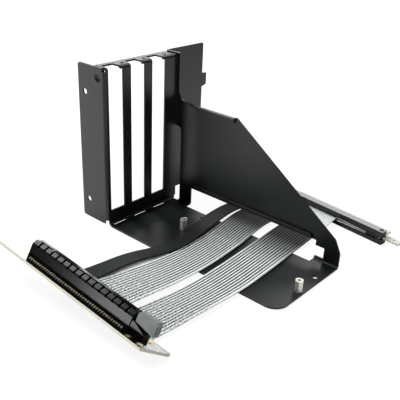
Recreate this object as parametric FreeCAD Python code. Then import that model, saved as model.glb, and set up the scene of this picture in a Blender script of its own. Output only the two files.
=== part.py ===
import FreeCAD, Part
import math
import os

# Vertical graphics-card bracket with its ribbon riser. Millimetres, +Z up.
# Sizes are set out from a datum where the slot plate's front face, the gusset
# wall's inner face and the base plate's top face meet. The finished pieces are
# moved so that the origin is the middle of the base plate's underside.

V = FreeCAD.Vector

# sheet metal
sheet = 1.2
bend_in = 1.0
bend_out = bend_in + sheet
over = 3.0

# base plate
base_len = 151.2
plate_w = 70.0
base_corner = 10.0
base_hole_r = 1.7
base_hole_left = 40.3
base_hole_left_in = 12.6
base_hole_right = 4.7
base_hole_right_in = 20.3

# slot plate with its windows and bottom slits
plate_h = 115.5
slot_count = 3
slot_pitch = 20.32
win_w = 13.1
win_sill = 10.6
strip_right = 12.3
slit_depth = 2.0
slit_start = 0.4
slit_inset = 0.4

# top flange
top_depth = 12.0
top_cut_w = 10.6
top_cut_d = 8.0
top_end_gap = 0.6
top_hole_r = 1.6
top_hole_in = 4.9
top_hole_side = 3.5

# side flange
side_depth = 26.8
side_relief = 3.0
side_top_gap = 0.4
side_round = 2.0
side_hole_r = 2.1
side_hole_x = 20.2
side_hole_low = 14.6
side_hole_gap = 81.6
sink_r = 3.3
sink_hole_r = 1.6
sink_x = 6.6
sink_drop = 7.0
sink_depth = 0.9

# gusset wall
wall_h = 81.0
wall_top_end = 58.2
wall_top_round = 1.5
nose_in = 4.7
nose_top = 19.3
nose_low = 10.3
nose_round = 2.0
strip_front = 2.5
strip_fillet = 7.0
slit_w = 5.6
slit_top = 61.0
slit_round = 4.0
leg_end = 17.6
right_land = 18.7
cable_top = 13.8
cable_notch = 5.6
step_w = 6.9
step_low = 1.8
step_top = 10.0

# folded hems on the wall's inner face
hem_gap = 0.5
hem_up_start = 14.8
hem_up_inset = 1.2
hem_up_h = 4.3
hem_low_inset_left = 1.4
hem_low_inset_right = 3.1
hem_low_h = 3.6
hem_round = 2.0

# outer ear behind the slot plate
ear_back = 11.0
ear_rise = 0.8
ear_reach = 41.0
ear_foot = 1.5
ear_round = 1.5
tab_reach = 5.0
tab_drop = 24.3
tab_h = 9.6
tab_root_h = 11.0

# standoffs
hex_flat = 5.0
stand_h = 8.0
stand_bore_r = 1.25
stand_bore_d = 6.0
stand_shank_r = 1.7
stand_clear = 0.3
stand_right = 3.8
stand_left_in = 34.0
mount_span = 105.0
stand_step = 7.5

# riser slot board, in its own tilted frame
slot_along = 19.5
slot_ahead = 80.65
slot_lift = 16.7
slot_yaw = 0.68
slot_pitch_down = 5.94
slot_roll = -26.42
board_t = 1.6
board_w = 16.8
board_near = 6.8
board_left = 23.0
board_right = 25.0
board_tip_len = 8.5
board_tip_w = 14.5
mount_hole_r = 1.65
mount_past = 13.4
mount_v = -3.5
eye_r = 2.3
eye_t = 0.1
pad_hole_r = 0.9
pad_r = 2.0
pad_near_past = 4.9
pad_near_v = -4.1
pad_far_past = 13.6
pad_far_v = 5.3

# slot housing, contacts and latch
slot_len = 89.0
slot_w = 7.6
slot_h = 11.25
groove_w = 1.9
groove_d = 8.4
groove_end = 2.4
key_u = 14.4
key_w = 1.6
tooth_count = 16
tooth_gap = 1.5
tooth_d = 3.1
rim_drop = 2.9
rim_land = 0.35
rim_step = 0.5
rim_step_h = 0.9
block_len = 11.0
block_inset = 0.6
block_h = 6.6
block_flat = 2.0
block_low = 3.3
tail_pitch = 2.0
tail_w = 0.7
tail_len = 1.3
tail_h = 0.6
tail_margin = 3.5
latch_gap = 0.4
latch_side = 1.2
latch_end_gap = 2.0
latch_len = 14.0
latch_drop = 2.0
latch_rise = 0.7
latch_h = 5.6
latch_round = 0.8
grip_count = 2
grip_w = 0.8
grip_d = 1.0
grip_pitch = 2.6
grip_margin = 1.5

# ribbons
ribbon_w = 29.0
side_ribbon_w = 10.0
ribbon_t = 1.0
ribbon_tuck = 2.2
ribbon_rest = 0.9
ribbon_past_wall = 8.0

# plug, in its own turned frame on the floor
plug_past = 5.2
plug_behind = 51.2
plug_yaw = -6.84
plug_len = 88.0
plug_w = 5.6
plug_low_h = 2.8
plug_mid_gap = 1.0
plug_up_h = 3.8
plug_post = 5.0
plug_board_in = 1.0
plug_board_w = 14.4
plug_board_end = 2.0
tongue_len = 12.0
tongue_in = 2.5
tongue_w = 5.5
tongue_hole_r = 1.0
tongue_hole_back = 5.0
finger_t = 0.06
finger_len = 5.7
finger_edge = 0.8
finger_end = 1.0
plug_key_w = 1.9
plug_key_at = 12.5
plug_key_d = 7.2
screw_r = 1.4
screw_clear = 0.3
screw_in = 3.0
screw_sink = 0.2
screw_floor = 0.8


def box(x0, x1, y0, y1, z0, z1):
    return Part.makeBox(x1 - x0, y1 - y0, z1 - z0, V(x0, y0, z0))


def prism(points, move):
    wire = Part.makePolygon(points + [points[0]])
    return Part.Face(wire).extrude(move)


def prism_y(points, y0, y1):
    return prism([V(x, y0, z) for x, z in points], V(0, y1 - y0, 0))


def prism_x(points, x0, x1):
    return prism([V(x0, y, z) for y, z in points], V(x1 - x0, 0, 0))


def prism_z(points, z0, z1):
    return prism([V(x, y, z0) for x, y in points], V(0, 0, z1 - z0))


def cyl(radius, height, at, axis):
    return Part.makeCylinder(radius, height, at, axis)


# Rounds the edges that run along one axis through the given places.
def round_edges(shape, radius, axis, places):
    along = "xyz".index(axis)
    other = [i for i in range(3) if i != along]
    picked = []
    for edge in shape.Edges:
        if len(edge.Vertexes) != 2:
            continue
        a = edge.Vertexes[0].Point
        b = edge.Vertexes[1].Point
        if abs(a[other[0]] - b[other[0]]) > 1e-4 or abs(a[other[1]] - b[other[1]]) > 1e-4:
            continue
        for place in places:
            if abs(a[other[0]] - place[0]) < 1e-3 and abs(a[other[1]] - place[1]) < 1e-3:
                picked.append(edge)
    return shape.makeFillet(radius, picked)


def save(name, shape, place=None):
    done = shape.copy()
    if place is not None:
        done.Placement = place.multiply(done.Placement)
    done.translate(V(-base_len / 2, plate_w / 2, sheet))
    done.exportStep("parts/" + name + ".step")
    print(name, len(done.Solids), "solids", round(done.Volume, 1), done.isValid())


os.makedirs("parts", exist_ok=True)

# Slot plate, top flange and base plate: one strip with two bends.
left = -plate_w + bend_out
strip = prism_y([(-top_depth, plate_h - sheet), (-top_depth, plate_h), (0, plate_h), (0, 0),
                 (base_len, 0), (base_len, -sheet), (-sheet, -sheet), (-sheet, plate_h - sheet)],
                left, 0)
strip = round_edges(strip, bend_out, "y", [(0, plate_h), (-sheet, -sheet)])
strip = round_edges(strip, bend_in, "y", [(-sheet, plate_h - sheet), (0, 0)])
front = -plate_w + sheet
lip = box(bend_out, base_len, front, left + 1, -sheet, 0)
base = strip.fuse(lip).removeSplitter()
base = round_edges(base, base_corner, "z", [(base_len, front)])

# Side flange bent back from the slot plate's left edge.
side_low = side_relief
side_high = plate_h - bend_out - side_top_gap
flange = prism_z([(-side_depth, -plate_w), (0, -plate_w), (0, left + 1), (-sheet, left + 1),
                  (-sheet, -plate_w + sheet), (-side_depth, -plate_w + sheet)], side_low, side_high)
flange = round_edges(flange, bend_out, "z", [(0, -plate_w)])
flange = round_edges(flange, bend_in, "z", [(-sheet, -plate_w + sheet)])
foot = box(-side_depth, -bend_out - bend_in, -plate_w, -plate_w + sheet, 0, side_low + 1)
crown = box(-side_depth, -bend_out, -plate_w, -plate_w + sheet, side_high - 1, plate_h)
flange = flange.fuse([foot, crown]).removeSplitter()
flange = round_edges(flange, side_round, "y", [(-side_depth, 0), (-side_depth, plate_h)])

# Gusset wall with the strip behind the slot plate, bent up from the base plate.
nose_x = base_len - nose_in
cable_end = base_len - right_land
ear_x = -ear_back
ear_top = plate_h + ear_rise
wall = prism_y([(ear_x - sheet, ear_foot), (slit_w, ear_foot), (slit_w, 0), (base_len, 0),
                (base_len, nose_low), (nose_x, nose_top), (wall_top_end, wall_h), (strip_front, wall_h),
                (strip_front, ear_top), (ear_x - sheet, ear_top)], 0, sheet)
wall = round_edges(wall, strip_fillet, "y", [(strip_front, wall_h)])
wall = round_edges(wall, wall_top_round, "y", [(wall_top_end, wall_h)])
wall = round_edges(wall, nose_round, "y", [(nose_x, nose_top), (base_len, nose_low)])
bend = prism_x([(-bend_out, -sheet), (sheet, -sheet), (sheet, bend_out), (0, bend_out),
                (0, 0), (-bend_out, 0)], slit_w, base_len)
bend = round_edges(bend, bend_out, "x", [(sheet, -sheet)])
bend = round_edges(bend, bend_in, "x", [(0, 0)])
wall = wall.cut(box(slit_w - over, base_len + over, -over, sheet + over, -over, bend_out))
wall = wall.fuse(bend)

# Outer ear with its hooked tab, bent outward from that strip.
tab_top = ear_top - tab_drop
ear = prism_x([(0, ear_foot), (ear_reach, ear_foot), (ear_reach, tab_top - tab_root_h),
               (ear_reach + tab_reach, tab_top - tab_h), (ear_reach + tab_reach, tab_top),
               (ear_reach, tab_top), (ear_reach, ear_top), (0, ear_top)], ear_x - sheet, ear_x)
ear = round_edges(ear, ear_round, "x", [(ear_reach, ear_top), (ear_reach + tab_reach, tab_top)])
turn = prism_z([(ear_x - sheet, 0), (ear_x + bend_out, 0), (ear_x + bend_out, sheet), (ear_x, sheet),
                (ear_x, bend_out + sheet), (ear_x - sheet, bend_out + sheet)], ear_foot, ear_top)
turn = round_edges(turn, bend_out, "z", [(ear_x - sheet, 0)])
turn = round_edges(turn, bend_in, "z", [(ear_x, sheet)])
ear = ear.cut(box(ear_x - over, ear_x + over, -over, bend_out + sheet, -over, ear_top + over))
wall = wall.cut(box(ear_x - over, ear_x + bend_out, -over, sheet + over, -over, ear_top + over))
bracket = base.fuse([flange, wall, ear, turn])

# Windows, top cut-outs, screw holes and tail slits, one set per card slot.
for i in range(slot_count):
    y0 = -strip_right - win_w - (slot_count - 1 - i) * slot_pitch
    y1 = y0 + win_w
    bracket = bracket.cut(box(-over, over, y0, y1, win_sill, plate_h - bend_out))
    bracket = bracket.cut(box(-top_cut_d, over, y0, y0 + top_cut_w, plate_h - bend_out - 1, plate_h + over))
    bracket = bracket.cut(cyl(top_hole_r, sheet + 2, V(-top_hole_in, y1 + top_hole_side, plate_h - sheet - 1),
                              V(0, 0, 1)))
    bracket = bracket.cut(box(slit_start, slit_start + slit_depth, y0 + slit_inset, y1 - slit_inset,
                              -sheet - over, bend_in))

# Gap at the top flange's end, the wall's slit and the cable window with its step.
bracket = bracket.cut(box(-top_depth - over, -bend_out, -top_end_gap, 0, plate_h - bend_out, plate_h + over))
slit = box(0, slit_w, -bend_out, sheet + over, -sheet - over, slit_top)
bracket = bracket.cut(round_edges(slit, slit_round, "y", [(slit_w, slit_top)]))
bracket = bracket.cut(box(leg_end, cable_end, -cable_notch, sheet + over, -sheet - over, cable_top))
bracket = bracket.cut(box(cable_end - 1, cable_end + step_w, -bend_in, sheet + over, step_low, step_top))

# Hems: the wall's edge is folded flat over its inner face.
hem_r = hem_gap / 2 + sheet
hem_mid = -hem_gap / 2


def hem(x0, x1, edge_z, height, up):
    way = 1 if up else -1
    middle = edge_z + way * hem_r
    ring = cyl(hem_r, x1 - x0, V(x0, hem_mid, middle), V(1, 0, 0))
    ring = ring.cut(cyl(hem_gap / 2, x1 - x0, V(x0, hem_mid, middle), V(1, 0, 0)))
    reach = 2 * hem_r
    low = middle if up else middle - reach
    ring = ring.cut(box(x0 - 1, x1 + 1, hem_mid - reach, hem_mid + reach, low, low + reach))
    end = edge_z + way * height
    flap = box(x0, x1, -hem_gap - sheet, -hem_gap, min(middle, end), max(middle, end))
    flap = round_edges(flap, hem_round, "y", [(x1, end)])
    return ring.fuse(flap)


hem_up_end = wall_top_end - hem_up_inset
hem_low_start = leg_end + hem_low_inset_left
hem_low_end = cable_end - hem_low_inset_right
bracket = bracket.cut(box(hem_up_start, hem_up_end, -over, sheet + over, wall_h - hem_r, wall_h + over))
bracket = bracket.cut(box(hem_low_start, hem_low_end, -over, sheet + over, cable_top - over, cable_top + hem_r))
bracket = bracket.fuse([hem(hem_up_start, hem_up_end, wall_h, hem_up_h, False),
                        hem(hem_low_start, hem_low_end, cable_top, hem_low_h, True)])

# Holes in the side flange and the base plate.
for z in (side_hole_low, side_hole_low + side_hole_gap):
    bracket = bracket.cut(cyl(side_hole_r, sheet + 2, V(-side_hole_x, -plate_w - 1, z), V(0, 1, 0)))
sink_at = V(-sink_x, -plate_w, plate_h - sink_drop)
bracket = bracket.cut(cyl(sink_hole_r, sheet + 2, sink_at - V(0, 1, 0), V(0, 1, 0)))
bracket = bracket.cut(Part.makeCone(sink_r, sink_hole_r, sink_depth, sink_at, V(0, 1, 0)))
stand_x = base_len - stand_right
stand_at = [V(stand_x - mount_span, -stand_left_in, 0), V(stand_x, -stand_left_in - stand_step, 0)]
for at in stand_at:
    bracket = bracket.cut(cyl(stand_shank_r + stand_clear, sheet + 2, at - V(0, 0, sheet + 1), V(0, 0, 1)))
hole_at = [V(base_hole_left, -base_hole_left_in, 0), V(base_len - base_hole_right, -base_hole_right_in, 0)]
for at in hole_at:
    bracket = bracket.cut(cyl(base_hole_r, sheet + 2, at - V(0, 0, sheet + 1), V(0, 0, 1)))
save("bracket_sheet", bracket.removeSplitter())

# Hex standoffs, each with a shank in the base plate and a tapped hole in its top.
posts = []
corner_r = hex_flat / math.sqrt(3)
for at in stand_at:
    ring = [(at.x + corner_r * math.cos(math.radians(60 * k)), at.y + corner_r * math.sin(math.radians(60 * k)))
            for k in range(6)]
    post = prism_z(ring, 0, stand_h)
    post = post.fuse(cyl(stand_shank_r, sheet, at - V(0, 0, sheet), V(0, 0, 1)))
    posts.append(post.cut(cyl(stand_bore_r, stand_bore_d + 1, at + V(0, 0, stand_h - stand_bore_d), V(0, 0, 1))))
save("standoffs", Part.makeCompound(posts))

# Riser slot board, built flat and then tilted as it lies in front of the bracket.
slot_at = V(slot_along, -plate_w - slot_ahead, slot_lift)
slot_place = FreeCAD.Placement(slot_at, FreeCAD.Rotation(slot_yaw, slot_pitch_down, slot_roll))
board_end = slot_len + board_right
board_far = board_w - board_near
outline = [(-board_left, -board_near), (board_end - board_tip_len, -board_near),
           (board_end, -board_near + board_tip_w), (board_end, board_far), (-board_left, board_far)]
board = prism_z(outline, -board_t, 0)
mount_u = slot_len + mount_past
eye_at = [(mount_u, mount_v, eye_r, mount_hole_r),
          (mount_u - mount_span, mount_v + stand_step, eye_r, mount_hole_r),
          (slot_len + pad_near_past, pad_near_v, pad_r, pad_hole_r),
          (slot_len + pad_far_past, pad_far_v, pad_r, pad_hole_r)]
eyes = []
for u, v, ring_r, hole_r in eye_at:
    board = board.cut(cyl(hole_r, board_t + 2, V(u, v, -board_t - 1), V(0, 0, 1)))
    ring = cyl(ring_r, eye_t, V(u, v, 0), V(0, 0, 1))
    eyes.append(ring.cut(cyl(hole_r, eye_t, V(u, v, 0), V(0, 0, 1))))
save("slot_board", board, slot_place)
save("board_eyelets", Part.makeCompound(eyes), slot_place)

# Slot housing: grooved bar with a notched rim and an end block under the latch.
housing = box(0, slot_len, 0, slot_w, 0, slot_h)
groove_v = (slot_w - groove_w) / 2
rim_low = slot_h - rim_drop
rim = prism_x([(0, slot_h), (0, rim_low), (rim_step, rim_low + rim_step_h), (groove_v - rim_land, slot_h)],
              0, slot_len)
housing = housing.cut(rim)
groove = box(groove_end, slot_len - groove_end, groove_v, groove_v + groove_w, slot_h - groove_d, slot_h + 1)
groove = groove.cut(box(key_u, key_u + key_w, 0, slot_w, 0, slot_h + 1))
housing = housing.cut(groove)
tooth = slot_len / tooth_count
for k in range(1, tooth_count):
    u = k * tooth
    housing = housing.cut(box(u - tooth_gap / 2, u + tooth_gap / 2, -1, groove_v, slot_h - tooth_d, slot_h + 1))
block_end = slot_len + block_len
block = prism_y([(slot_len, 0), (block_end, 0), (block_end, block_low), (slot_len + block_flat, block_h),
                 (slot_len, block_h)], block_inset, slot_w - block_inset)
save("slot_housing", housing.fuse(block).removeSplitter(), slot_place)

# Contact tails in two rows beside the housing.
tails = []
tail_number = int((slot_len - 2 * tail_margin) / tail_pitch) + 1
for k in range(tail_number):
    u = tail_margin + k * tail_pitch
    tails.append(box(u - tail_w / 2, u + tail_w / 2, -tail_len, 0, 0, tail_h))
    tails.append(box(u - tail_w / 2, u + tail_w / 2, slot_w, slot_w + tail_len, 0, tail_h))
save("slot_contacts", Part.makeCompound(tails), slot_place)

# Retention latch: a lever over the end block, with grip slits in its end.
latch_start = slot_len + latch_end_gap
latch_end = latch_start + latch_len
latch_root = block_h + latch_gap
latch_low = latch_root - latch_drop
latch_top = latch_root + latch_h
latch = prism_y([(latch_start, latch_root), (latch_end, latch_low), (latch_end, latch_top + latch_rise),
                 (latch_start, latch_top)], latch_side, slot_w - latch_side)
latch = round_edges(latch, latch_round, "y", [(latch_end, latch_top + latch_rise), (latch_start, latch_top)])
grip_v = (slot_w - (grip_count - 1) * grip_pitch - grip_w) / 2
for k in range(grip_count):
    v = grip_v + k * grip_pitch
    latch = latch.cut(box(latch_end - grip_d, latch_end + 1, v, v + grip_w, latch_low + grip_margin,
                          latch_top - grip_margin))
save("slot_latch", latch, slot_place)

# Heights in the plug, which lies on the floor in its own turned frame.
plug_place = FreeCAD.Placement(V(base_len + plug_past, plug_behind, -sheet), FreeCAD.Rotation(plug_yaw, 0, 0))
pcb_low = plug_low_h + plug_mid_gap
pcb_top = pcb_low + board_t
up_low = pcb_top + plug_mid_gap
up_top = up_low + plug_up_h

# Spaces that end the ribbons flush with the two boards' edges.
slot_stop = box(-board_left, board_end, -board_near, board_far, -slot_h, slot_h)
slot_stop.Placement = slot_place
plug_stop = box(-plug_len, 0, plug_board_in, plug_board_in + plug_board_w, 0, up_top)
plug_stop.Placement = plug_place


# A flat ribbon: its centre line of straight runs and tangent arcs, swept sideways and given a thickness.
def ribbon(name, width, points):
    edges = []
    at = points[0]
    length = 0.0
    for a, b, c in zip(points, points[1:], points[2:]):
        back = (a - b).normalize()
        ahead = (c - b).normalize()
        half = (math.pi - back.getAngle(ahead)) / 2
        run = 0.45 * min(a.distanceToPoint(b), b.distanceToPoint(c))
        radius = run / math.tan(half)
        inward = (back + ahead).normalize()
        centre = b + inward * math.hypot(radius, run)
        start = b + back * run
        stop = b + ahead * run
        edges.append(Part.LineSegment(at, start).toShape())
        edges.append(Part.Arc(start, centre - inward * radius, stop).toShape())
        at = stop
        print(name, "arc radius", round(radius, 1))
    edges.append(Part.LineSegment(at, points[-1]).toShape())
    pieces = []
    for edge in edges:
        length += edge.Length
        edge.translate(V(-width / 2, 0, -ribbon_t / 2))
        pieces.append(edge.extrude(V(width, 0, 0)).extrude(V(0, 0, ribbon_t)))
    solid = pieces[0].fuse(pieces[1:]).removeSplitter()
    print(name, "length", round(length, 1), "section x length", round(width * ribbon_t * length, 1),
          "volume", round(solid.Volume, 1))
    save(name, solid.cut(slot_stop).cut(plug_stop))


# Routes: from the slot board's far edge, down to a low place ahead of the base plate, over its front edge,
# through the wall's window and back up to the plug board.
for name, width, slot_u, low_x, low_ahead, low_z, front_x, wall_x, plug_p in [
        ("ribbon_left", ribbon_w, 53.0, 71.8, 52.0, 2.4, 74.8, 70.4, -56.8),
        ("ribbon_right", ribbon_w, 86.0, 105.6, 52.0, 1.2, 108.4, 104.8, -26.5),
        ("ribbon_side", side_ribbon_w, 31.5, 50.2, 46.0, 5.2, 53.0, 50.6, -77.1)]:
    route = [slot_place.multVec(V(slot_u, board_far - ribbon_tuck, -board_t / 2)),
             V(low_x, -plate_w - low_ahead, low_z), V(front_x, -plate_w, ribbon_rest),
             V(wall_x, ribbon_past_wall, ribbon_rest),
             plug_place.multVec(V(plug_p, plug_board_in + ribbon_tuck, pcb_low + board_t / 2))]
    ribbon(name, width, route)

# Plug: board with gold fingers between an upper and a lower shell.
screw_ps = [-plug_post / 2, -plug_len + plug_post / 2]
lower = box(-plug_len, 0, 0, plug_w, 0, plug_low_h)
upper = box(-plug_len, 0, 0, plug_w, up_low, up_top)
plug_board = box(-plug_len + plug_board_end, -plug_board_end, plug_board_in, plug_board_in + plug_board_w,
                 pcb_low, pcb_top)
plug_board = plug_board.fuse(box(-plug_board_end, tongue_len, tongue_in, tongue_in + tongue_w, pcb_low, pcb_top))
finger_far = plug_board_in + plug_board_w
key_at = -plug_len + plug_board_end + plug_key_at
plug_board = plug_board.cut(box(key_at, key_at + plug_key_w, finger_far - plug_key_d, finger_far + 1, 0, up_top))
plug_board = plug_board.cut(cyl(tongue_hole_r, up_top, V(tongue_len - tongue_hole_back, tongue_in + tongue_w / 2, 0),
                                V(0, 0, 1)))
screws = []
for p, start in zip(screw_ps, (-plug_post, -plug_len)):
    lower = lower.fuse(box(start, start + plug_post, 0, plug_w, plug_low_h, pcb_low))
    upper = upper.fuse(box(start, start + plug_post, 0, plug_w, pcb_top, up_low))
    at = V(p, screw_in, screw_floor)
    bore = cyl(screw_r + screw_clear, up_top, at, V(0, 0, 1))
    lower = lower.cut(bore)
    upper = upper.cut(bore)
    plug_board = plug_board.cut(bore)
    screws.append(cyl(screw_r, up_top - screw_floor - screw_sink, at, V(0, 0, 1)))
save("plug_shell_bottom", lower.removeSplitter(), plug_place)
save("plug_shell_top", upper.removeSplitter(), plug_place)
save("plug_board", plug_board.removeSplitter(), plug_place)
save("plug_screws", Part.makeCompound(screws), plug_place)
fingers = []
finger_y = finger_far - finger_edge - finger_len
spans = [(-plug_len + plug_board_end + finger_end, key_at - finger_end),
         (key_at + plug_key_w + finger_end, -plug_board_end - finger_end)]
for start, stop in spans:
    for z in (pcb_low - finger_t, pcb_top):
        fingers.append(box(start, stop, finger_y, finger_y + finger_len, z, z + finger_t))
save("gold_fingers", Part.makeCompound(fingers), plug_place)
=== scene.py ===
import bpy
import math
import numpy as np
from mathutils import Matrix, Vector


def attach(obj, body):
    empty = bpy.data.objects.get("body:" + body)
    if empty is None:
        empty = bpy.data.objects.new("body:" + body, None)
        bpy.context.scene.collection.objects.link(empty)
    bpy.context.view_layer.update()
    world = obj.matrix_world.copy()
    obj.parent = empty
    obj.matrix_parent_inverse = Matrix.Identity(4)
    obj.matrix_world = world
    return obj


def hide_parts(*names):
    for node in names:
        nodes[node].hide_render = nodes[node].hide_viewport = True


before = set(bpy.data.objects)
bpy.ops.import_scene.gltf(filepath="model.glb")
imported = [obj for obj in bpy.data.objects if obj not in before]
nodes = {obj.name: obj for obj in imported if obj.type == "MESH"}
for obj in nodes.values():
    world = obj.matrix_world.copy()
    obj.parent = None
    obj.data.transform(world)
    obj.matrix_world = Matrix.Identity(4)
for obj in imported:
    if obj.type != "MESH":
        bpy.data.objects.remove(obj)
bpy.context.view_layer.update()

scene = bpy.context.scene
scene.view_settings.view_transform = "Standard"
mainBody = "bracket_and_riser"
print("frame loaded:", len(nodes), "nodes")

# camera at the photograph's view, worked out for a square 400 x 400 picture
cameraSet = {
    "place": (0.236155, -0.296429, 0.221581),
    "azimuth": 40.5941,  # degrees, as are the next two
    "elevation": 26.0938,
    "roll": 2.5593,
    "lens": 56.207,  # mm, as is the sensor
    "sensor": 36,
    "clip": (0.01, 50),
}


def makeCamera(setting):
    a, e, r = (math.radians(setting[k]) for k in ("azimuth", "elevation", "roll"))
    back = Vector((math.sin(a) * math.cos(e), -math.cos(a) * math.cos(e), math.sin(e)))
    right = Vector((math.cos(a), math.sin(a), 0))
    up = back.cross(right)
    right, up = right * math.cos(r) + up * math.sin(r), up * math.cos(r) - right * math.sin(r)
    data = bpy.data.cameras.new("photoCamera")
    data.lens = setting["lens"]
    data.sensor_width = setting["sensor"]
    data.clip_start, data.clip_end = setting["clip"]
    cam = bpy.data.objects.new("photoCamera", data)
    scene.collection.objects.link(cam)
    turn = Matrix((right, up, back)).transposed().to_4x4()
    cam.matrix_world = Matrix.Translation(Vector(setting["place"])) @ turn
    scene.camera = cam


makeCamera(cameraSet)
print("camera set")


# a shader socket in Python sums: each operator adds one Math node
class Wire:
    def __init__(self, finish, socket):
        self.finish = finish
        self.socket = socket

    def math(self, operation, *others):
        return self.finish.make("ShaderNodeMath", {"operation": operation}, dict(enumerate((self, *others))))

    def back(self, operation, other):
        return self.finish.make("ShaderNodeMath", {"operation": operation}, {0: other, 1: self})

    def __add__(self, other):
        return self.math("ADD", other)

    def __radd__(self, other):
        return self.back("ADD", other)

    def __sub__(self, other):
        return self.math("SUBTRACT", other)

    def __rsub__(self, other):
        return self.back("SUBTRACT", other)

    def __mul__(self, other):
        return self.math("MULTIPLY", other)

    def __truediv__(self, other):
        return self.math("DIVIDE", other)

    # 0 at low, 1 at high, smooth between and flat beyond
    def step(self, low, high):
        return self.finish.make("ShaderNodeMapRange", {"interpolation_type": "SMOOTHSTEP"},
                                {"Value": self, "From Min": low, "From Max": high})


# one material, or the world, built node by node
class Finish:
    def __init__(self, name, kind="materials"):
        self.owner = getattr(bpy.data, kind).new(name)
        self.owner.use_nodes = True
        self.tree = self.owner.node_tree
        self.tree.nodes.clear()

    # a node's type, its settings, then the values or links of its sockets
    def make(self, kind, settings=None, values=None, out=0):
        node = self.tree.nodes.new(kind)
        for key, value in (settings or {}).items():
            setattr(node, key, value)
        for key, value in (values or {}).items():
            if isinstance(value, Wire):
                self.tree.links.new(value.socket, node.inputs[key])
            else:
                node.inputs[key].default_value = value
        return Wire(self, node.outputs[out]) if len(node.outputs) else None

    def place(self):
        return self.make("ShaderNodeTexCoord", out="Object")

    # the three coordinates in a turned frame, with its place and turn as the CAD gives them
    def local(self, where):
        values = {"Vector": self.place(), "Location": where["at"], "Rotation": where["turn"]}
        return self.split(self.make("ShaderNodeMapping", {"vector_type": "TEXTURE"}, values))

    def split(self, vector):
        node = self.tree.nodes.new("ShaderNodeSeparateXYZ")
        self.tree.links.new(vector.socket, node.inputs[0])
        return [Wire(self, socket) for socket in node.outputs]

    def join(self, *parts):
        return self.make("ShaderNodeCombineXYZ", {}, dict(enumerate(parts)))

    def uv(self):
        return self.split(self.make("ShaderNodeUVMap", {"uv_map": "run"}))

    def noise(self, scale, detail=2.0, vector=None):
        return self.make("ShaderNodeTexNoise", {},
                         {"Vector": vector or self.place(), "Scale": scale, "Detail": detail})

    def mix(self, share, a, b):
        return self.make("ShaderNodeMix", {"data_type": "RGBA"}, {0: share, 6: a, 7: b}, 2)

    def bump(self, height, distance, strength, normal=None):
        values = {"Height": height, "Distance": distance, "Strength": strength}
        if normal is not None:
            values["Normal"] = normal
        return self.make("ShaderNodeBump", {}, values)

    # rounds the look of sharp edges by that radius
    def soften(self, radius, samples=6):
        return self.make("ShaderNodeBevel", {"samples": samples}, {"Radius": radius})

    def done(self, values):
        shader = self.make("ShaderNodeBsdfPrincipled", {}, values)
        self.make("ShaderNodeOutputMaterial", {}, {"Surface": shader})
        return self.owner


# a colour with its alpha, made lighter or darker by a factor
def shade(colour, factor=1.0):
    return (*[c * factor for c in colour], 1.0)


white = (1.0, 1.0, 1.0)


def paint(node, mat):
    nodes[node].data.materials.clear()
    nodes[node].data.materials.append(mat)


# the two turned frames of the riser: where they sit and how they are turned
slotFrame = {"at": (-0.0561, -0.11565, 0.0179),
             "turn": tuple(math.radians(v) for v in (-26.42, 5.94, 0.68))}
plugFrame = {"at": (0.0808, 0.0862, 0.0), "turn": (0.0, 0.0, math.radians(-6.84))}


def frameMatrix(setting):
    rx, ry, rz = setting["turn"]
    turn = Matrix.Rotation(rz, 3, "Z") @ Matrix.Rotation(ry, 3, "Y") @ Matrix.Rotation(rx, 3, "X")
    return np.array(turn), np.array(setting["at"])


def toRow(points, setting):
    turn, at = frameMatrix(setting)
    return np.asarray(points, float) @ turn.T + at


# finishes

powderSet = {
    "colour": (0.0026, 0.0046, 0.0056), "light": 1.25,
    "cloud": 40.0, "cloudDetail": 3.0, "cloudStep": (0.35, 0.7),
    "rough": 0.36, "roughGrain": 0.10, "roughCloud": 0.08, "shine": 0.6,
    "grain": 2600.0, "depth": 0.00001, "strength": 0.5, "edge": 0.00035,
}


def powderCoat(setting):
    f = Finish("powderBlack")
    grain = f.noise(setting["grain"])
    cloud = f.noise(setting["cloud"], setting["cloudDetail"])
    rough = setting["rough"] + (grain - 0.5) * setting["roughGrain"] + (cloud - 0.5) * setting["roughCloud"]
    plain, light = shade(setting["colour"]), shade(setting["colour"], setting["light"])
    base = f.mix(cloud.step(*setting["cloudStep"]), plain, light)
    normal = f.bump(grain, setting["depth"], setting["strength"], f.soften(setting["edge"]))
    return f.done({"Base Color": base, "Roughness": rough, "Specular IOR Level": setting["shine"],
                   "Normal": normal})


# an edge of 0 leaves the edges sharp
platingSet = {
    "nickelPlate": {"colour": (0.97, 0.95, 0.86), "dull": 0.82, "rough": 0.22, "metal": 0.55,
                    "cloud": 900.0, "cloudDetail": 3.0, "roughCloud": 0.12, "edge": 0.00025},
    "goldPlate": {"colour": (0.90, 0.68, 0.30), "dull": 0.8, "rough": 0.24, "metal": 1.0,
                  "cloud": 1500.0, "cloudDetail": 2.0, "roughCloud": 0.12, "edge": 0.0},
    "tinnedTail": {"colour": (0.95, 0.88, 0.66), "dull": 0.8, "rough": 0.34, "metal": 0.45,
                   "cloud": 1500.0, "cloudDetail": 2.0, "roughCloud": 0.12, "edge": 0.0},
}


def plating(name, setting):
    f = Finish(name)
    cloud = f.noise(setting["cloud"], setting["cloudDetail"])
    base = f.mix(cloud, shade(setting["colour"]), shade(setting["colour"], setting["dull"]))
    rough = setting["rough"] + cloud * setting["roughCloud"]
    values = {"Base Color": base, "Metallic": setting["metal"], "Roughness": rough}
    if setting["edge"]:
        values["Normal"] = f.soften(setting["edge"])
    return f.done(values)


boardSet = {"mask": (0.003, 0.003, 0.003), "core": (0.96, 0.93, 0.74), "dull": 0.8, "thick": 0.0016,
            "edgeStep": (0.40, 0.48), "layers": 700.0, "rough": 0.08, "roughLayer": 0.08, "roughEdge": 0.3}


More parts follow.
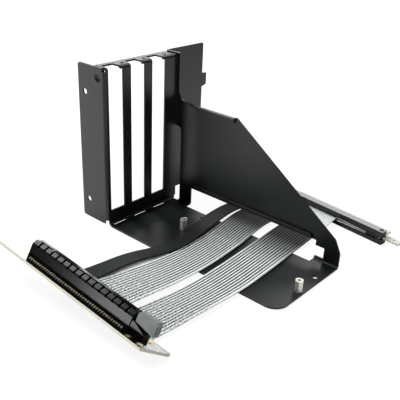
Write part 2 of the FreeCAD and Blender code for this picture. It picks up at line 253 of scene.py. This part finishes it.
# black solder mask on the two faces, bare glass-epoxy layers on the cut edge between them
def boardMask(setting):
    f = Finish("boardBlack")
    w = f.local(slotFrame)[2]
    fromMiddle = (w + setting["thick"] / 2).math("ABSOLUTE")
    edge = 1.0 - fromMiddle.step(*[setting["thick"] * share for share in setting["edgeStep"]])
    layer = f.noise(setting["layers"])
    core = f.mix(layer, shade(setting["core"]), shade(setting["core"], setting["dull"]))
    base = f.mix(edge, shade(setting["mask"]), core)
    rough = setting["rough"] + layer * setting["roughLayer"] + edge * setting["roughEdge"]
    return f.done({"Base Color": base, "Roughness": rough})


# what the moulded pieces share, then what each has of its own
mouldSet = {"light": 1.3, "cloud": 150.0, "cloudStep": (0.3, 0.75),
            "grain": 3500.0, "roughGrain": 0.16, "depth": 0.000006, "strength": 0.5}
plasticSet = {
    "slotBlack": {"colour": (0.003, 0.004, 0.004), "rough": 0.20, "shine": 0.12, "edge": 0.0002},
    # painted reflection: the latch's black plastic is given the mid grey of its lit top face
    "latchGreySheen": {"colour": (0.19, 0.21, 0.195), "rough": 0.42, "shine": 0.5, "edge": 0.0003},
    "plugBlack": {"colour": (0.006, 0.0065, 0.007), "rough": 0.42, "shine": 0.4, "edge": 0.0006},
}


def mouldedPlastic(name, setting, mould):
    f = Finish(name)
    grain = f.noise(mould["grain"])
    cloud = f.noise(mould["cloud"])
    plain, light = shade(setting["colour"]), shade(setting["colour"], mould["light"])
    base = f.mix(cloud.step(*mould["cloudStep"]), plain, light)
    rough = setting["rough"] + (grain - 0.5) * mould["roughGrain"]
    normal = f.bump(grain, mould["depth"], mould["strength"], f.soften(setting["edge"]))
    return f.done({"Base Color": base, "Roughness": rough, "Specular IOR Level": setting["shine"],
                   "Normal": normal})


# faceStep: how far below the top the grey painted reflection has ended and where it is full
plugTopSet = {"top": (0.41, 0.42, 0.42), "dull": 0.82, "height": 0.0102, "faceStep": (0.0002, 0.0001),
              "pitch": 0.002, "ribStep": (-0.9, 0.2), "ribDepth": 0.00006, "strength": 0.5,
              "grain": 2600.0, "rough": 0.42, "roughGrain": 0.12, "edge": 0.0005}


# black plastic with a grey painted reflection on its upper face, dimmer in the troughs of its fine cross
# ribs, black below it
def plugTopFinish(setting):
    f = Finish("plugTopPaintedSheen")
    along, _, z = f.local(plugFrame)
    sheenFace = (setting["height"] - z).step(*setting["faceStep"])
    wave = (along * (2 * math.pi / setting["pitch"])).math("SINE")
    grain = f.noise(setting["grain"])
    # painted reflection: the top colour is a grey sheen laid on black plastic, dimmed in the rib troughs
    plain, dull = shade(setting["top"]), shade(setting["top"], setting["dull"])
    sheenTone = f.mix(wave.step(*setting["ribStep"]), dull, plain)
    base = f.mix(sheenFace, shade(plasticSet["plugBlack"]["colour"]), sheenTone)
    rough = setting["rough"] + (grain - 0.5) * setting["roughGrain"]
    normal = f.bump(wave * sheenFace, setting["ribDepth"], setting["strength"], f.soften(setting["edge"]))
    return f.done({"Base Color": base, "Roughness": rough, "Normal": normal})


# gap and gapSoft are shares of the pitch
fingerSet = {"pitch": 0.001, "gap": 0.28, "gapSoft": 0.05, "bareFrom": 0.0134, "tipSoft": 0.0002,
             "bare": (0.86, 0.85, 0.78), "rough": 0.26, "roughBare": 0.2}


# one gold finger to each pitch along the plug, with bare board between them and at their tips
def fingerFinish(setting):
    f = Finish("goldFingers")
    along, across, _ = f.local(plugFrame)
    fromMiddle = ((along / setting["pitch"]).math("FRACT") - 0.5).math("ABSOLUTE") * 2.0
    gapFrom = 1.0 - setting["gap"]
    between = fromMiddle.step(gapFrom, gapFrom + setting["gapSoft"])
    tip = across.step(setting["bareFrom"], setting["bareFrom"] + setting["tipSoft"])
    bare = between.math("MAXIMUM", tip)
    base = f.mix(bare, shade(platingSet["goldPlate"]["colour"]), shade(setting["bare"]))
    rough = setting["rough"] + bare * setting["roughBare"]
    return f.done({"Base Color": base, "Metallic": 1.0 - bare, "Roughness": rough})


bareSet = {"pale": (0.80, 0.79, 0.72), "dim": (0.66, 0.65, 0.58), "mask": (0.004, 0.004, 0.004),
           "maskTo": 0.0060, "tongueFrom": -0.0030, "soft": 0.0003,
           "weave": 1800.0, "rough": 0.42, "roughWeave": 0.1}


# dark mask inside the shells, bare board on the tongue and toward the fingers
def bareBoard(setting):
    f = Finish("bareBoard")
    along, across, _ = f.local(plugFrame)
    weave = f.noise(setting["weave"])
    front = across.step(setting["maskTo"], setting["maskTo"] + setting["soft"])
    tongue = along.step(setting["tongueFrom"], setting["tongueFrom"] + setting["soft"])
    pale = f.mix(weave, shade(setting["pale"]), shade(setting["dim"]))
    base = f.mix(front.math("MAXIMUM", tongue), shade(setting["mask"]), pale)
    return f.done({"Base Color": base, "Roughness": setting["rough"] + weave * setting["roughWeave"]})


# plain pale finish of the film and the mouth's wires, with a faint cloud
def paleFinish(name, setting):
    f = Finish(name)
    base = f.mix(f.noise(setting["cloud"]), shade(setting["pale"]), shade(setting["dim"]))
    return f.done({"Base Color": base, "Roughness": setting["rough"]})


powder = powderCoat(powderSet)
plated = {name: plating(name, setting) for name, setting in platingSet.items()}
moulded = {name: mouldedPlastic(name, setting, mouldSet) for name, setting in plasticSet.items()}
nodeFinishes = {
    "bracket_sheet": powder,
    "standoffs": plated["nickelPlate"],
    "slot_board": boardMask(boardSet),
    "board_eyelets": plated["goldPlate"],
    "slot_housing": moulded["slotBlack"],
    "slot_contacts": plated["tinnedTail"],
    "slot_latch": moulded["latchGreySheen"],
    "plug_shell_top": plugTopFinish(plugTopSet),
    "plug_shell_bottom": moulded["plugBlack"],
    "plug_board": bareBoard(bareSet),
    "gold_fingers": fingerFinish(fingerSet),
    "plug_screws": moulded["plugBlack"],
}
for node, mat in nodeFinishes.items():
    paint(node, mat)
print("finishes made")


# pieces

def meshPiece(name, points, faces, mat, smooth=True):
    mesh = bpy.data.meshes.new(name)
    mesh.from_pydata(points.tolist(), [], faces.tolist())
    mesh.polygons.foreach_set("use_smooth", np.full(len(faces), smooth))
    mesh.materials.append(mat)
    mesh.update()
    obj = bpy.data.objects.new(name, mesh)
    scene.collection.objects.link(obj)
    return obj


# Faces of a closed band: a ring of points at each row, its first half along the top and its second half
# back along the bottom, with quads across both ends. Copies follow one another in the list of points.
def bandFaces(rows, ring, copies=1):
    index = np.arange(rows * ring).reshape(rows, ring)
    beside = np.roll(index, -1, axis=1)
    skin = np.stack([index[:-1], beside[:-1], beside[1:], index[1:]], axis=-1).reshape(-1, 4)
    top = np.arange(ring // 2 - 1)
    low = ring - 1 - top
    cap = np.stack([top, low, low - 1, top + 1], axis=-1)
    faces = np.concatenate([skin, cap, cap[:, ::-1] + index[-1, 0]])
    return (faces[None] + np.arange(copies)[:, None, None] * rows * ring).reshape(-1, 4)


routeSteps = 24  # points of the smooth line to each stretch of a route


# the route's own smooth line: a third-order spline on the control points, read back as points
def routeLine(points):
    data = bpy.data.curves.new("route", "CURVE")
    data.dimensions = "3D"
    spline = data.splines.new("NURBS")
    spline.points.add(len(points) - 1)
    flat = np.hstack([np.asarray(points, float), np.ones((len(points), 1))])
    spline.points.foreach_set("co", flat.ravel())
    spline.order_u = 3
    spline.use_endpoint_u = True
    spline.resolution_u = routeSteps
    obj = bpy.data.objects.new("route", data)
    scene.collection.objects.link(obj)
    bpy.context.view_layer.update()
    mesh = bpy.data.meshes.new_from_object(obj)
    line = np.empty(len(mesh.vertices) * 3)
    mesh.vertices.foreach_get("co", line)
    bpy.data.objects.remove(obj)
    bpy.data.curves.remove(data)
    bpy.data.meshes.remove(mesh)
    return line.reshape(-1, 3)


# distance along a line at each of its points
def runAlong(line):
    return np.concatenate([[0], np.cumsum(np.linalg.norm(np.diff(line, axis=0), axis=1))])


def widthsAlong(run, setting):
    return np.interp(run / run[-1], *np.array(setting["widths"]).T)


def smoothStep(t):
    t = np.clip(t, 0, 1)
    return t * t * (3 - 2 * t)


def unit(vectors):
    return vectors / np.linalg.norm(vectors, axis=1)[:, None]


# widths run from the slot to the plug, as pairs of share of the length and width
ribbonSet = {
    "left": {"node": "ribbon_left", "width": 0.029, "finish": "ribbon_grey",
             "widths": [(0, 0.0294), (0.06, 0.0302), (0.2, 0.0312), (0.36, 0.0284), (0.5, 0.0272),
                        (0.66, 0.0280), (0.8, 0.0285), (0.92, 0.0200), (1, 0.0176)],
             "points": [(-0.0040, -0.1064, 0.0073), (-0.0050, -0.0850, 0.0036), (0.0006, -0.0380, 0.0021),
                        (-0.0010, 0.0020, 0.0021), (-0.0063, 0.0340, 0.0021), (-0.0084, 0.0500, 0.0021),
                        (-0.0066, 0.0660, 0.0021), (0.0000, 0.0820, 0.0021), (0.0080, 0.0957, 0.0034)]},
    "right": {"node": "ribbon_right", "width": 0.029, "finish": "ribbon_grey",
              "widths": [(0, 0.0272), (0.25, 0.0268), (0.4, 0.0283), (0.6, 0.0284), (0.78, 0.0288),
                         (1, 0.0262)],
              "points": [(0.0288, -0.1060, 0.0039), (0.0303, -0.0850, 0.0024), (0.0338, -0.0400, 0.0021),
                         (0.0318, 0.0020, 0.0021), (0.0282, 0.0470, 0.0021), (0.0276, 0.0935, 0.0046)]},
    "side": {"node": "ribbon_side", "width": 0.010, "finish": "ribbon_black",
             "widths": [(0, 0.0122), (0.12, 0.0122), (0.26, 0.0116), (0.36, 0.0104), (0.41, 0.0092),
                        (0.50, 0.0118), (0.57, 0.0128), (0.7, 0.012), (1, 0.0098)],
             "points": [(-0.0254, -0.1067, 0.0095), (-0.0258, -0.0850, 0.0070), (-0.0278, -0.0580, 0.0042),
                        (-0.0204, -0.0340, 0.0032), (-0.0172, -0.0180, 0.0032), (-0.0214, 0.0020, 0.0041),
                        (-0.0264, 0.0260, 0.0043), (-0.0286, 0.0520, 0.0042), (-0.0200, 0.0760, 0.0042),
                        (0.0044, 0.0962, 0.0046)]},
}

# the two kinds of ribbon: rib is the share of the thickness that is rounded, lines how strongly wires show;
# the valley colour is painted shade in the gaps between the wires
ribbonKinds = {
    "ribbon_grey": {"name": "ribbonGrey", "wires": 13, "thick": 0.001, "rib": 0.7, "lines": 1.0,
                    "crown": (0.92, 0.97, 0.95), "valleyShade": (0.006, 0.007, 0.007), "shine": 0.25},
    "ribbon_black": {"name": "ribbonBlack", "wires": 5, "thick": 0.001, "rib": 0.0, "lines": 0.0,
                     "crown": (0.006, 0.009, 0.009), "valleyShade": (0.006, 0.009, 0.009), "shine": 0.24},
}

# pairs say where a thing starts and where it is full
ribbonLook = {
    "middle": 0.49, "margin": (0.43, 0.45),  # shares of the width: the middle, and the clear edge from it
    "gap": (0.40, 0.60),  # share of a wire's half width
    "slotEnd": (0.08, 0.36), "wallShadow": (0.54, 0.75),  # shares of the length, as are the next two
    "wallShadowEnd": (0.80, 0.86), "plugEnd": (0.82, 0.88),
    "speckAcross": 1.6, "speckAlong": 230.0, "streakScale": 0.9, "streakAlong": 24.0, "streakSeed": 7.0,
    "gapSpeck": (0.42, 0.62), "gapLoss": 0.45, "crownSpeck": (0.38, 0.56), "speckDark": 0.65,
    "streak": (0.55, 0.8), "streakDark": 0.12, "wallShadowDark": 0.92, "plugEndFade": 0.8,
    "rough": 0.46, "roughSpeck": 0.12, "roughInWallShadow": 0.3, "depth": 0.00010, "strength": 0.6,
}


# pale wires side by side with painted shade in the gaps between them, specked where they leave the slot,
# darkened by a painted shadow of the wall where they pass under it, their dark lines fading toward the plug
# end, with a clear pale margin along both edges
def ribbonFinish(kind, look):
    f = Finish(kind["name"])
    u, v, _ = f.uv()
    wire, lines = u * kind["wires"], kind["lines"]
    fromMiddle = (wire.math("FRACT") - 0.5).math("ABSOLUTE") * 2.0
    margin = (u - look["middle"]).math("ABSOLUTE").step(*look["margin"])
    # painted shade: the gaps between the wires take the dark valley colour
    grooveShade = fromMiddle.step(*look["gap"]) * lines * (1.0 - margin)
    near = 1.0 - v.step(*look["slotEnd"])
    speck = f.noise(1.0, 2.0, f.join(wire * look["speckAcross"], v * look["speckAlong"]))
    streak = f.noise(look["streakScale"], 1.0, f.join(wire, v * look["streakAlong"], look["streakSeed"]))
    inGap = grooveShade * (1.0 - near * speck.step(*look["gapSpeck"]) * look["gapLoss"])
    specks = near * (1.0 - speck.step(*look["crownSpeck"])) * look["speckDark"]
    streaks = streak.step(*look["streak"]) * look["streakDark"]
    dark = inGap + (1.0 - grooveShade) * (specks + streaks) * lines
    # the dark lines fade toward the plug end
    dark = dark * (1.0 - v.step(*look["plugEnd"]) * look["plugEndFade"])
    # painted shadow: the wires darken and turn rougher where they pass under the wall, and clear again
    # toward the plug
    wallShadow = v.step(*look["wallShadow"]) * (1.0 - v.step(*look["wallShadowEnd"]))
    dark = dark + (1.0 - dark) * wallShadow * look["wallShadowDark"] * lines
    base = f.mix(dark, shade(kind["crown"]), shade(kind["valleyShade"]))
    rough = look["rough"] + speck * look["roughSpeck"] + wallShadow * look["roughInWallShadow"]
    normal = f.bump(speck * near, look["depth"], look["strength"] * lines)
    return f.done({"Base Color": base, "Roughness": rough, "Specular IOR Level": kind["shine"],
                   "Normal": normal})


ribbonFinishes = {slot: ribbonFinish(kind, ribbonLook) for slot, kind in ribbonKinds.items()}

# over these lengths from its two ends a ribbon turns to level; perWire is the points across a wire
sweepSet = {"slotTurn": 0.045, "plugTurn": 0.05, "perWire": 8}
plugNodes = ("plug_shell_top", "plug_shell_bottom", "plug_board", "gold_fingers", "plug_screws")


# A ribbed band carried along the route: at each place the section's top and bottom are a row of half rounds,
# one to a wire, spread over the width there. The cross direction turns from the slot board's edge to level
# and then to the plug's edge.
def makeRibbon(key, setting, sweep):
    kind = ribbonKinds[setting["finish"]]
    line = routeLine(setting["points"])
    run = runAlong(line)
    length = run[-1]
    tangent = unit(np.gradient(line, axis=0))
    slotSide = frameMatrix(slotFrame)[0][:, 0]
    plugSide = frameMatrix(plugFrame)[0][:, 0]
    level = np.array([1.0, 0.0, 0.0])
    early = smoothStep(1 - run / sweep["slotTurn"])[:, None]
    late = smoothStep((run - length + sweep["plugTurn"]) / sweep["plugTurn"])[:, None]
    cross = unit(level + early * (slotSide - level) + late * (plugSide - level))
    up = unit(np.cross(cross, tangent))
    share = np.linspace(0, 1, kind["wires"] * sweep["perWire"] + 1)
    phase = (share * kind["wires"]) % 1.0
    phase[-1] = 0.0
    bulge = np.sqrt(np.clip(1 - (2 * phase - 1) ** 2, 0, 1))
    height = kind["thick"] / 2 * (1 - kind["rib"] + kind["rib"] * bulge)
    around = np.concatenate([share, share[::-1]])
    lift = np.concatenate([height, -height[::-1]])
    offset = widthsAlong(run, setting)[:, None] * (around - 0.5)[None, :]
    grid = line[:, None, :] + cross[:, None, :] * offset[:, :, None] + up[:, None, :] * lift[None, :, None]
    faces = bandFaces(*grid.shape[:2])
    mat = ribbonFinishes[setting["finish"]]
    obj = meshPiece("ribbon_" + key + "_wires", grid.reshape(-1, 3), faces, mat)
    where = np.stack(np.broadcast_arrays(around[None, :], (run / length)[:, None]), axis=-1)
    layer = obj.data.uv_layers.new(name="run")
    layer.data.foreach_set("uv", where.reshape(-1, 2)[faces.ravel()].ravel())
    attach(obj, mainBody)
    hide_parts(setting["node"])
    plugPieces = [nodes[n] for n in plugNodes]
    plugPieces.append(mouthWires)
    if key == "side":
        plugPieces.append(stripFilm)
    print("ribbon", key, "is", round(float(length) * 1000, 1), "mm long")


# Pale film under the black strip: ruled from below the strip's middle line to below the left ribbon's near
# edge, both read off their routes at the same distance from the slot.
filmSet = {"from": -0.1035, "to": -0.0320, "rows": 40, "cols": 6, "below": 0.0008, "reach": 0.0006,
           "thick": 0.0001, "pale": (0.95, 0.95, 0.93), "dim": (0.86, 0.86, 0.84), "cloud": 220.0,
           "rough": 0.4}


def makeFilm(setting):
    y = np.linspace(setting["from"], setting["to"], setting["rows"])
    strip, left = (routeLine(ribbonSet[k]["points"]) for k in ("side", "left"))
    half = widthsAlong(runAlong(left), ribbonSet["left"]) / 2
    middle, stripHeight = (np.interp(y, strip[:, 1], strip[:, k]) for k in (0, 2))
    near = np.interp(y, left[:, 1], left[:, 0] - half) + setting["reach"]
    outer = np.stack([middle, y, stripHeight], axis=-1)
    inner = np.stack([near, y, np.interp(y, left[:, 1], left[:, 2])], axis=-1)
    share = np.linspace(0, 1, setting["cols"])[None, :, None]
    grid = outer[:, None, :] * (1 - share) + inner[:, None, :] * share
    grid[..., 2] -= setting["below"]
    grid = np.concatenate([grid, grid[:, ::-1] - np.array([0, 0, setting["thick"]])], axis=1)
    faces = bandFaces(*grid.shape[:2])
    obj = meshPiece("strip_film", grid.reshape(-1, 3), faces, paleFinish("filmPale", setting))
    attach(obj, mainBody)
    return obj


# Contact springs in the slot's groove, one row to each wall: a strip whose distance from its wall is a half
# sine of its height, with a flat four-cornered section.
springSet = {"first": 0.0035, "last": 0.0855, "pitch": 0.001, "key": (0.0138, 0.0166), "half": 0.00028,
             "walls": ((0.00285, 1), (0.00475, -1)), "clear": 0.00004, "low": 0.0031, "high": 0.0088,
             "bow": 0.00055, "thick": 0.00014, "rows": 7}


def makeSprings(setting):
    u = np.arange(setting["first"], setting["last"], setting["pitch"])
    u = u[(u < setting["key"][0]) | (u > setting["key"][1])]
    t = np.linspace(0, 1, setting["rows"])
    w = setting["low"] + (setting["high"] - setting["low"]) * t
    lean = setting["clear"] + setting["bow"] * np.sin(math.pi * t)
    parts = []
    for wall, way in setting["walls"]:
        side = np.array([-1, 1, 1, -1]) * setting["half"] * way
        depth = np.array([0, 0, 1, 1]) * setting["thick"]
        grid = np.empty((len(u), len(t), 4, 3))
        grid[..., 0] = u[:, None, None] + side[None, None, :]
        grid[..., 1] = wall + way * (lean[None, :, None] + depth[None, None, :])
        grid[..., 2] = w[None, :, None]
        parts.append(grid)
    grid = np.concatenate(parts)
    faces = bandFaces(len(t), 4, len(grid))
    points = toRow(grid.reshape(-1, 3), slotFrame)
    obj = meshPiece("slot_springs", points, faces, plated["tinnedTail"], False)
    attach(obj, mainBody)


# Edge wires that lie in the plug's mouth: straight round bars, a ring of points at each end of each.
mouthSet = {"from": -0.0402, "to": -0.0140, "in": 0.0005, "heights": ((0.0034, 0.0040), (0.0054, 0.0050)),
            "radius": 0.00034, "sides": 12, "pale": (0.86, 0.88, 0.87), "dim": (0.74, 0.76, 0.75),
            "cloud": 900.0, "rough": 0.4}


def makeMouthWires(setting):
    a = np.linspace(0, 2 * math.pi, setting["sides"], endpoint=False)
    grid = np.empty((len(setting["heights"]), 2, len(a), 3))
    grid[..., 0] = np.array([setting["from"], setting["to"]])[None, :, None]
    grid[..., 1] = setting["in"] + setting["radius"] * np.cos(a)[None, None, :]
    grid[..., 2] = np.array(setting["heights"])[:, :, None] + setting["radius"] * np.sin(a)[None, None, :]
    faces = bandFaces(2, len(a), len(grid))
    points = toRow(grid.reshape(-1, 3), plugFrame)
    obj = meshPiece("plug_mouth_wires", points, faces, paleFinish("wireWhite", setting))
    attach(obj, mainBody)
    return obj


# Folded tab behind the side flange's countersunk hole: a flat plate from two corners. It stands partly for
# the flange's tab and partly as painted shade, its black face darkening the hole and the fold's open corner.
tabSet = {"low": (-0.0872, -0.03375, 0.1042), "high": (-0.0775, -0.03260, 0.1154)}


def makeTab(setting):
    ends = np.array([setting["low"], setting["high"]])
    pick = np.array([(0, 0, 0), (1, 0, 0), (1, 1, 0), (0, 1, 0), (0, 0, 1), (1, 0, 1), (1, 1, 1), (0, 1, 1)])
    points = np.stack([ends[pick[:, k], k] for k in range(3)], axis=-1)
    faces = np.array([(3, 2, 1, 0), (4, 5, 6, 7), (0, 1, 5, 4), (1, 2, 6, 5), (2, 3, 7, 6), (3, 0, 4, 7)])
    obj = meshPiece("corner_tab_and_hole_shade", points, faces, powder, False)
    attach(obj, mainBody)


makeSprings(springSet)
mouthWires = makeMouthWires(mouthSet)
stripFilm = makeFilm(filmSet)
makeTab(tabSet)
for key, setting in ribbonSet.items():
    makeRibbon(key, setting, sweepSet)
print("pieces made")

# stage: floor and light; plain is the share of the floor that shows as even white
stageSet = {"floor": 8.0, "level": -0.0004, "pale": 0.9, "plain": 0.78, "glow": 1.15,
            "fill": 0.06, "sky": 1.0}


# 1 for rays straight from the camera or through glass, 0 for bounced light
def seenDirect(f):
    node = f.tree.nodes.new("ShaderNodeLightPath")
    camera, through = (Wire(f, node.outputs[k]) for k in ("Is Camera Ray", "Is Transmission Ray"))
    return camera.math("MAXIMUM", through)


def makeFloor(setting):
    half = setting["floor"] / 2
    corners = np.array([(-1, -1), (1, -1), (1, 1), (-1, 1)]) * half
    points = np.column_stack([corners, np.full(4, setting["level"])])
    f = Finish("floorWhite")
    soft = f.make("ShaderNodeBsdfDiffuse", {}, {"Color": shade(white, setting["pale"])})
    glow = f.make("ShaderNodeEmission", {}, {"Color": shade(white), "Strength": setting["glow"]})
    both = f.make("ShaderNodeMixShader", {}, {0: seenDirect(f) * setting["plain"], 1: soft, 2: glow})
    f.make("ShaderNodeOutputMaterial", {}, {"Surface": both})
    floor = meshPiece("studioFloor", points, np.array([[0, 1, 2, 3]]), f.owner, False)


def makeWorld(setting):
    f = Finish("studioWorld", "worlds")
    dim, sky = (f.make("ShaderNodeBackground", {}, {"Color": shade(white), "Strength": setting[k]})
                for k in ("fill", "sky"))
    both = f.make("ShaderNodeMixShader", {}, {0: seenDirect(f), 1: dim, 2: sky})
    f.make("ShaderNodeOutputWorld", {}, {"Surface": both})
    scene.world = f.owner


lampSet = {
    "leftHigh": {"at": (-0.90, -0.10, 1.00), "aim": (0, 0, 0.04), "size": (0.7, 0.7), "power": 20.0},
    "overhead": {"at": (0.05, 0.70, 1.25), "aim": (0, 0, 0.02), "size": (0.8, 0.8), "power": 4.5},
    "rightFill": {"at": (1.20, 0.10, 0.60), "aim": (0, 0, 0.04), "size": (0.7, 0.7), "power": 1.5},
    "backPanel": {"at": (-1.15, 1.05, 0.40), "aim": (0, 0, 0.04), "size": (0.9, 0.36), "power": 3.4},
    "backGlow": {"at": (-1.05, 1.08, 0.12), "aim": (-0.03, -0.1, 0.02), "size": (1.0, 0.2), "power": 4.4},
    "backHigh": {"at": (-0.30, 1.10, 0.88), "aim": (0.06, -0.03, 0.0), "size": (0.35, 0.35), "power": 2.5},
    "frontLow": {"at": (-0.68, -1.30, 0.14), "aim": (0.02, -0.11, 0.015), "size": (0.24, 0.2), "power": 3.4},
}


def makeLamp(name, setting):
    data = bpy.data.lights.new(name, "AREA")
    data.shape = "RECTANGLE"
    data.size, data.size_y = setting["size"]
    data.energy = setting["power"]
    lamp = bpy.data.objects.new(name, data)
    scene.collection.objects.link(lamp)
    at = Vector(setting["at"])
    turn = (Vector(setting["aim"]) - at).to_track_quat("-Z", "Y").to_matrix().to_4x4()
    lamp.matrix_world = Matrix.Translation(at) @ turn


makeFloor(stageSet)
makeWorld(stageSet)
for name, setting in lampSet.items():
    makeLamp(name, setting)
print("stage and lamps set")

print("scene done")
